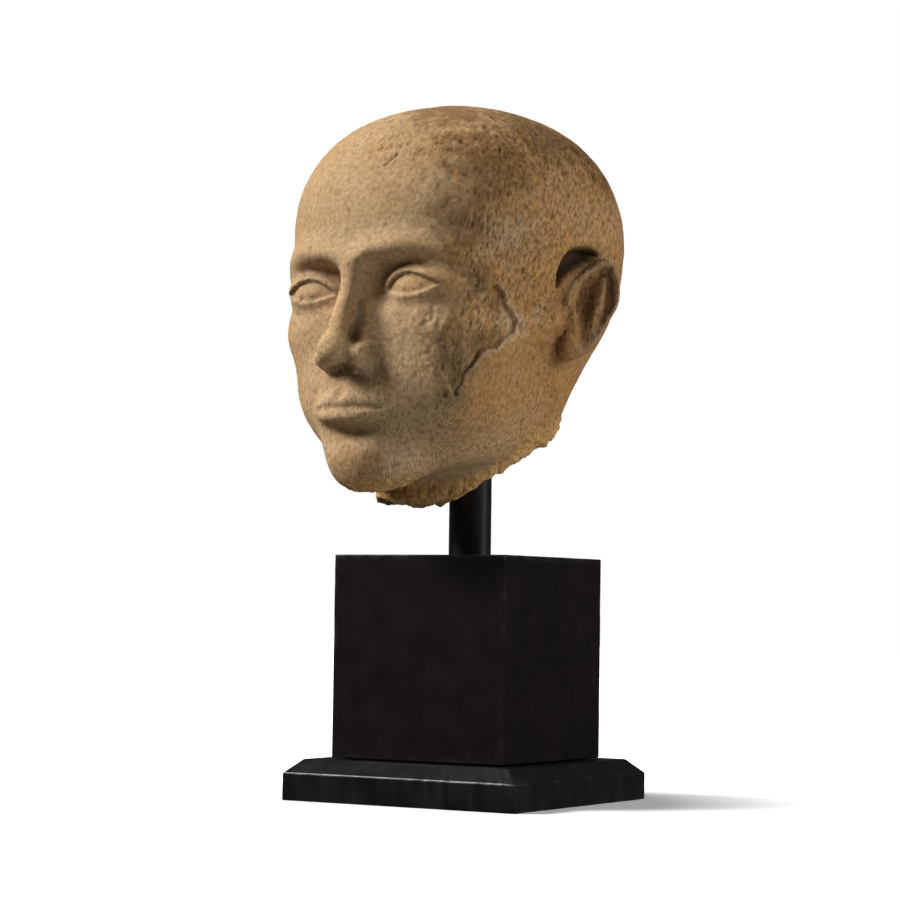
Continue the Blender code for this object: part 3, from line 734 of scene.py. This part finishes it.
def makeBlock():
    bm = bmesh.new()
    bmesh.ops.create_cube(bm, size=1)
    bmesh.ops.scale(bm, vec=blockHigh - blockLow, verts=bm.verts)
    bmesh.ops.translate(bm, vec=(blockLow + blockHigh) / 2, verts=bm.verts)
    corner = (blockHigh.x, blockLow.y, blockHigh.z)
    block = wearEdges(bm, "ebonisedBlock", 81, corner, plinth["blockChip"])
    bm = bmesh.new()
    seatRadius = rodRadius + plinth["rodGap"]
    bmesh.ops.create_cone(bm, cap_ends=True, segments=plinth["seatSides"], radius1=seatRadius,
                          radius2=seatRadius, depth=2 * (blockHigh.z - rodLow.z))
    bmesh.ops.translate(bm, vec=(rodAxis.x, rodAxis.y, blockHigh.z), verts=bm.verts)
    drill = addPiece("drill", bm)
    applyModifier(block, "BOOLEAN", operation="DIFFERENCE", solver="EXACT", object=drill)
    bpy.data.objects.remove(drill)
    print("block made")
    return block


rod = {"sides": 96, "lengthCuts": 60, "endRound": 0.0003, "endSegments": 2, "unevenness": 0.000015}


def makeRod():
    bm = bmesh.new()
    bmesh.ops.create_cone(bm, cap_ends=True, segments=rod["sides"], radius1=rodRadius, radius2=rodRadius,
                          depth=rodHigh.z - rodLow.z)
    bmesh.ops.translate(bm, vec=rodAxis, verts=bm.verts)
    rims = [edge for edge in bm.edges if edge.calc_face_angle(0) > 1]
    bmesh.ops.bevel(bm, geom=rims, offset=rod["endRound"], offset_type="OFFSET", segments=rod["endSegments"],
                    profile=0.5, affect="EDGES", material=-1)
    lengths = [edge for edge in bm.edges if edge.calc_length() > 0.02]
    bmesh.ops.subdivide_edges(bm, edges=lengths, cuts=rod["lengthCuts"], use_grid_fill=True)
    bar = addPiece("blackRod", bm)
    p = getPoints(bar.data)
    outward = (p - np.array(rodAxis)) * (1, 1, 0)
    outward /= np.maximum(lengthOf(outward), 1e-6)[:, None]
    setPoints(bar.data, p - outward * (rod["unevenness"] * (1 + lumps(p, 0.006, 91)))[:, None])
    bar.data.shade_smooth()
    bar.data.set_sharp_from_angle(angle=math.radians(50))
    print("rod made")
    return bar


# finishes


def linear(code):  # an sRGB hex colour as linear RGBA
    parts = [int(code[i:i + 2], 16) / 255 for i in (1, 3, 5)]
    return (*[c / 12.92 if c <= 0.04045 else ((c + 0.055) / 1.055) ** 2.4 for c in parts], 1)


# a node with its settings and links; the name or number of a socket comes before that of a property
def addNode(tree, kind, settings):
    node = tree.nodes.new(kind)
    for name, value in settings.items():
        if isinstance(name, str) and name not in node.inputs:
            setattr(node, name, value)
        elif isinstance(value, bpy.types.NodeSocket):
            tree.links.new(value, node.inputs[name])
        else:
            node.inputs[name].default_value = value
    return node


def newMaterial(name):
    finish = bpy.data.materials.new(name)
    finish.use_nodes = True
    tree = finish.node_tree
    return finish, tree, tree.nodes["Principled BSDF"]


# limestone, carved with a point and rasps, then weathered and buried: dull, warm, grainy, darkened in its pits
# by dirt and by painted shade
limestone = {
    # the dark brown below serves both for dirt and for painted shade
    "tan": "#c5a276", "ochre": "#b98a52", "grey": "#b39c7c", "pale": "#ddcbab", "dirtAndShade": "#3a2612",
    "breakBrownAndLight": "#d0a263", "oliveAndShade": "#6b6244", "patinaAndShade": "#6e4a22",
    "patch": 0.022, "cloud": 0.007, "fleck": 0.0013, "grain": 0.00045,
    "slitWidth": 0.00085, "slitLength": 0.0018, "slitSlant": 22.0,
    "strokeWidth": 0.0005, "strokeLength": 0.003,
    "roughness": 0.9, "specular": 0.3, "bumpHeight": 0.0004,
}


def limestoneMaterial():
    c = limestone
    finish, tree, shader = newMaterial("limestoneCarvedWeathered")

    def add(kind, settings, output=0):
        return addNode(tree, kind, settings).outputs[output]

    place = add("ShaderNodeTexCoord", {}, "Object")
    pitted, paintedShade, rubbed, mossAndShade, patinaAndShade, broken, brown, coarse, stroked = (
        add("ShaderNodeAttribute", {"attribute_name": name}, "Fac") for name in (
            "pitted", "paintedShade", "rubbed", "mossAndShade", "patinaAndShade", "freshBreak", "brown", "coarse", "stroked"))
    patch, cloud, fleck, grain = (
        add("ShaderNodeTexNoise", {"Vector": place, "Scale": 1 / c[name], "Detail": 3.0})
        for name in ("patch", "cloud", "fleck", "grain"))
    slant = (math.radians(c["slitSlant"]), 0, 0)
    leant = add("ShaderNodeMapping", {"Vector": place, "Rotation": slant})
    slits, strokes = (
        add("ShaderNodeTexNoise", {"Scale": 1.0, "Detail": 2.5, "Vector": add(
            "ShaderNodeMapping", {"Vector": where, "Scale": (1 / wide, 1 / wide, 1 / long)})})
        for where, wide, long in ((leant, c["slitWidth"], c["slitLength"]),
                                  (place, c["strokeWidth"], c["strokeLength"])))
    # broad colour; browner on the sides, the back and the crown, partly the stone's own tone and partly painted
    # shade
    share = add("ShaderNodeMapRange", {"Value": patch, "From Min": 0.35, "From Max": 0.65,
                                       "To Min": -0.1, "To Max": 0.35})
    share = add("ShaderNodeMath", {"operation": "MULTIPLY_ADD", 0: brown, 1: 0.75, 2: share})
    tan, ochre, grey, dirtAndShadeBrown, pale = (linear(c[name]) for name in ("tan", "ochre", "grey", "dirtAndShade", "pale"))
    base = add("ShaderNodeMix", {"data_type": "RGBA", 0: share, 6: tan, 7: ochre}, 2)
    share = add("ShaderNodeMapRange", {"Value": cloud, "From Min": 0.52, "From Max": 0.72, "To Max": 0.22})
    base = add("ShaderNodeMix", {"data_type": "RGBA", 0: share, 6: base, 7: grey}, 2)
    # the fresh break's brown is its own colour made paler as painted light, for light that reaches under the
    # jaw
    for stain, most, name in ((broken, 1.0, "breakBrownAndLight"), (mossAndShade, 0.45, "oliveAndShade"), (patinaAndShade, 0.65, "patinaAndShade")):
        share = add("ShaderNodeMath", {"operation": "MULTIPLY", 0: stain, 1: most})
        base = add("ShaderNodeMix", {"data_type": "RGBA", 0: share, 6: base, 7: linear(c[name])}, 2)
    # flecks, and the pale ridges between the slits
    ridges = add("ShaderNodeMapRange", {"Value": slits, "From Min": 0.48, "From Max": 0.64, "To Max": 0.24})
    light = add("ShaderNodeMath", {"operation": "MULTIPLY_ADD", 0: ridges, 1: coarse, 2: 1.0})
    for speckle, least, most in ((fleck, 0.80, 1.20), (grain, 0.90, 1.10)):
        speckle = add("ShaderNodeMapRange", {"Value": speckle, "From Min": 0.3, "From Max": 0.7,
                                             "To Min": least, "To Max": most})
        light = add("ShaderNodeMath", {"operation": "MULTIPLY", 0: light, 1: speckle})
    base = add("ShaderNodeVectorMath", {"operation": "SCALE", 0: base, "Scale": light})
    # dirt in slits, strokes and flecks; dirt and painted shade in pits; painted shade in sheltered places and
    # the ear's hollows
    uneven = add("ShaderNodeMapRange", {"Value": fleck, "From Min": 0.3, "From Max": 0.7,
                                        "To Min": 0.1, "To Max": 0.0})
    uneven = add("ShaderNodeMath", {"operation": "MULTIPLY_ADD", 0: coarse, 1: 0.50, 2: uneven})
    slitDirt = add("ShaderNodeMapRange", {"Value": slits, "From Min": 0.47, "From Max": 0.37})
    slitDirt = add("ShaderNodeMath", {"operation": "MULTIPLY", 0: slitDirt, 1: uneven})
    strokeDirt = add("ShaderNodeMapRange", {"Value": strokes, "From Min": 0.46, "From Max": 0.34,
                                            "To Max": 0.5})
    strokeDirt = add("ShaderNodeMath", {"operation": "MULTIPLY", 0: strokeDirt, 1: stroked})
    fleckDirt = add("ShaderNodeMapRange", {"Value": fleck, "From Min": 0.38, "From Max": 0.28})
    dirtAndShadeShare = add("ShaderNodeMath", {"operation": "MAXIMUM", 0: slitDirt, 1: strokeDirt})
    for dirtAndShade, most in ((fleckDirt, 0.4), (pitted, 0.66), (paintedShade, 0.6)):
        dirtAndShade = add("ShaderNodeMath", {"operation": "MULTIPLY", 0: dirtAndShade, 1: most})
        dirtAndShadeShare = add("ShaderNodeMath", {"operation": "MAXIMUM", 0: dirtAndShadeShare, 1: dirtAndShade})
    base = add("ShaderNodeMix", {"data_type": "RGBA", 0: dirtAndShadeShare, 6: base, 7: dirtAndShadeBrown}, 2)
    # rubbed edges
    share = add("ShaderNodeMapRange", {"Value": fleck, "From Min": 0.4, "From Max": 0.6,
                                       "To Min": 0.2, "To Max": 0.6})
    share = add("ShaderNodeMath", {"operation": "MULTIPLY", 0: share, 1: rubbed})
    base = add("ShaderNodeMix", {"data_type": "RGBA", 0: share, 6: base, 7: pale}, 2)
    tree.links.new(base, shader.inputs["Base Color"])
    shader.inputs["Roughness"].default_value = c["roughness"]
    shader.inputs["Specular IOR Level"].default_value = c["specular"]
    # grain too fine for the mesh
    height = add("ShaderNodeMath", {"operation": "MULTIPLY", 0: fleck, 1: 0.5})
    for part, weight in ((grain, 0.35), (slitDirt, -0.9), (strokeDirt, -0.5)):
        height = add("ShaderNodeMath", {"operation": "MULTIPLY_ADD", 0: part, 1: weight, 2: height})
    bump = add("ShaderNodeBump", {"Height": height, "Strength": 0.8, "Distance": c["bumpHeight"]})
    tree.links.new(bump, shader.inputs["Normal"])
    return finish


# steel bar under satin black enamel: a dead black with one narrow, soft streak of light
blackSteel = {"black": "#050404", "rubbed": "#0c0a08", "roughness": 0.30, "scale": 0.004}


def blackSteelMaterial():
    c = blackSteel
    finish, tree, shader = newMaterial("steelSatinBlackEnamel")
    place = addNode(tree, "ShaderNodeTexCoord", {}).outputs["Object"]
    drawn = addNode(tree, "ShaderNodeMapping", {"Vector": place, "Scale": (1, 1, 0.2)})
    mottle = addNode(tree, "ShaderNodeTexNoise", {
        "Vector": drawn.outputs[0], "Scale": 1 / c["scale"], "Detail": 4.0}).outputs["Fac"]
    base = addNode(tree, "ShaderNodeMix", {"data_type": "RGBA", 0: mottle, 6: linear(c["black"]),
                                           7: linear(c["rubbed"])})
    tree.links.new(base.outputs[2], shader.inputs["Base Color"])
    gloss = addNode(tree, "ShaderNodeMapRange", {"Value": mottle, "To Min": c["roughness"] - 0.06,
                                                 "To Max": c["roughness"] + 0.08})
    tree.links.new(gloss.outputs[0], shader.inputs["Roughness"])
    bump = addNode(tree, "ShaderNodeBump", {"Height": mottle, "Strength": 0.15, "Distance": 0.0001})
    tree.links.new(bump.outputs[0], shader.inputs["Normal"])
    return finish


# hardwood stained black and waxed: a satin brown-black, a little redder where the stain is thin
ebonised = {
    "name": "woodEbonisedSatin", "dark": "#0d0705", "thin": "#150b08", "bare": "#7d7166",
    "mottle": 0.006, "grainWidth": 0.0006, "grainLength": 0.02,
    "roughness": 0.44, "specular": 0.13, "bump": 0.2, "wornThrough": 0.12,
}
# the same wood under black lacquer, rubbed to a gloss: blue-black, with pale worn arrises
lacquered = {
    "name": "woodBlackLacquered", "dark": "#090a0b", "thin": "#0d0f10", "bare": "#8d8578",
    "mottle": 0.008, "grainWidth": 0.0008, "grainLength": 0.03,
    "roughness": 0.30, "specular": 0.26, "bump": 0.05, "wornThrough": 0.05,
}


def blackWoodMaterial(c):
    finish, tree, shader = newMaterial(c["name"])
    place = addNode(tree, "ShaderNodeTexCoord", {}).outputs["Object"]
    worn = addNode(tree, "ShaderNodeAttribute", {"attribute_name": "worn"}).outputs["Fac"]
    mottle = addNode(tree, "ShaderNodeTexNoise", {
        "Vector": place, "Scale": 1 / c["mottle"], "Detail": 5.0}).outputs["Fac"]
    drawn = addNode(tree, "ShaderNodeMapping", {
        "Vector": place, "Scale": (1 / c["grainWidth"], 1 / c["grainWidth"], 1 / c["grainLength"])})
    grain = addNode(tree, "ShaderNodeTexNoise", {
        "Vector": drawn.outputs[0], "Scale": 1.0, "Detail": 3.0}).outputs["Fac"]
    thin = addNode(tree, "ShaderNodeMapRange", {"Value": mottle, "From Min": 0.4, "From Max": 0.7})
    base = addNode(tree, "ShaderNodeMix", {"data_type": "RGBA", 0: thin.outputs[0], 6: linear(c["dark"]),
                                           7: linear(c["thin"])})
    lined = addNode(tree, "ShaderNodeMapRange", {"Value": grain, "From Min": 0.3, "From Max": 0.7,
                                                 "To Min": 0.75, "To Max": 1.15})
    base = addNode(tree, "ShaderNodeVectorMath", {"operation": "SCALE", 0: base.outputs[2],
                                                  "Scale": lined.outputs[0]})
    bare = addNode(tree, "ShaderNodeMath", {"operation": "MULTIPLY", 0: worn, 1: c["wornThrough"]})
    base = addNode(tree, "ShaderNodeMix", {"data_type": "RGBA", 0: bare.outputs[0], 6: base.outputs[0],
                                           7: linear(c["bare"])})
    tree.links.new(base.outputs[2], shader.inputs["Base Color"])
    gloss = addNode(tree, "ShaderNodeMapRange", {"Value": mottle, "To Min": c["roughness"] - 0.07,
                                                 "To Max": c["roughness"] + 0.1})
    tree.links.new(gloss.outputs[0], shader.inputs["Roughness"])
    shader.inputs["Specular IOR Level"].default_value = c["specular"]
    bump = addNode(tree, "ShaderNodeBump", {"Height": grain, "Strength": c["bump"], "Distance": 0.00006})
    tree.links.new(bump.outputs[0], shader.inputs["Normal"])
    return finish


# the studio

studio = {
    "floor": "#f4f4f2", "floorSize": 6.0,
    "glowFrom": 0.055, "glowTo": 0.105, "glow": 0.16,  # painted light: the floor glows brighter away from the piece, fading the shadows cast on it
    "key": 4.6, "keyAzimuth": -52, "keyHeight": 38, "keySoftness": 22,
    "fill": 1.40, "fillAzimuth": 116, "fillHeight": 22, "fillSoftness": 24,
    "bounce": 0.80, "bounceAzimuth": 75, "bounceHeight": -35, "bounceSoftness": 50,  # off the lit table
    "air": 0.06,
}
view = {
    "lens": 105.5, "azimuth": 31.03, "away": 0.7469, "up": 0.053075,
    "yaw": 0.46, "pitch": 3.482, "roll": 0.8155,  # degrees
}


def addSun(name, strength, azimuth, height, softness):
    lamp = bpy.data.lights.new(name, "SUN")
    lamp.energy = strength
    lamp.angle = math.radians(softness)
    sun = bpy.data.objects.new(name, lamp)
    a, h = math.radians(azimuth), math.radians(height)
    towards = Vector((math.sin(a) * math.cos(h), -math.cos(a) * math.cos(h), math.sin(h)))
    sun.location = towards * 2
    sun.rotation_euler = towards.to_track_quat("Z", "Y").to_euler()
    bpy.context.scene.collection.objects.link(sun)


def makeStudio():
    c = studio
    bm = bmesh.new()
    bmesh.ops.create_grid(bm, x_segments=1, y_segments=1, size=c["floorSize"] / 2)
    floor = addPiece("floor", bm)
    finish, tree, shader = newMaterial("floorMattPaintGlowing")
    shader.inputs["Base Color"].default_value = linear(c["floor"])
    shader.inputs["Roughness"].default_value = 0.9
    place = addNode(tree, "ShaderNodeTexCoord", {}).outputs["Object"]
    away = addNode(tree, "ShaderNodeVectorMath", {"operation": "LENGTH", 0: place})
    # painted light: emission that rises with distance from the piece
    glow = addNode(tree, "ShaderNodeMapRange", {
        "Value": away.outputs["Value"], "From Min": c["glowFrom"], "From Max": c["glowTo"],
        "To Min": c["glow"], "To Max": 1.0})
    shader.inputs["Emission Color"].default_value = (1, 1, 1, 1)
    tree.links.new(glow.outputs[0], shader.inputs["Emission Strength"])
    floor.data.materials.append(finish)
    # the floor throws no light of its own on to the stone; the bounce lamp does that, from under it
    floor.visible_diffuse = False
    floor.visible_glossy = False
    floor.visible_shadow = False
    for lamp in ("key", "fill", "bounce"):
        addSun(lamp, c[lamp], c[lamp + "Azimuth"], c[lamp + "Height"], c[lamp + "Softness"])
    world = bpy.data.worlds.new("paleRoom")
    world.use_nodes = True
    tree = world.node_tree
    backdrop = tree.nodes["Background"]
    backdrop.inputs["Color"].default_value = (1, 1, 1, 1)
    ray = addNode(tree, "ShaderNodeLightPath", {})
    strength = addNode(tree, "ShaderNodeMapRange", {"Value": ray.outputs["Is Camera Ray"],
                                                    "To Min": c["air"], "To Max": 1.0})
    tree.links.new(strength.outputs[0], backdrop.inputs["Strength"])
    bpy.context.scene.world = world
    bpy.context.scene.view_settings.view_transform = "Standard"


def makeCamera():
    v = view
    lens = bpy.data.cameras.new("camera")
    lens.lens = v["lens"]
    lens.sensor_width = 36
    lens.clip_start = 0.01
    camera = bpy.data.objects.new("camera", lens)
    azimuth, yaw, pitch, roll = (math.radians(v[name]) for name in ("azimuth", "yaw", "pitch", "roll"))
    turn = azimuth + yaw
    forward = Vector((-math.sin(turn) * math.cos(pitch), math.cos(turn) * math.cos(pitch), math.sin(pitch)))
    level = forward.cross(Vector((0, 0, 1))).normalized()
    above = level.cross(forward)
    right = level * math.cos(roll) + above * math.sin(roll)
    upward = above * math.cos(roll) - level * math.sin(roll)
    placed = Matrix((right, upward, -forward)).transposed().to_4x4()
    placed.translation = Vector((math.sin(azimuth) * v["away"], -math.cos(azimuth) * v["away"], v["up"]))
    camera.matrix_world = placed
    bpy.context.scene.collection.objects.link(camera)
    bpy.context.scene.camera = camera


makeCamera()
makeStudio()
print("camera and studio made")

for piece, node, slot, finish in (
        (makeHead(), "limestone_head", "limestone", limestoneMaterial()),
        (makeRod(), "mount_rod", "blackened_steel", blackSteelMaterial()),
        (makeBlock(), "plinth_block", "ebonised_wood", blackWoodMaterial(ebonised)),
        (makeSlab(), "plinth_slab", "black_gloss_wood", blackWoodMaterial(lacquered))):
    piece.data.materials.clear()
    piece.data.materials.append(finish)
    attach(piece, "root")
    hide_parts(node)
print("finishes on")
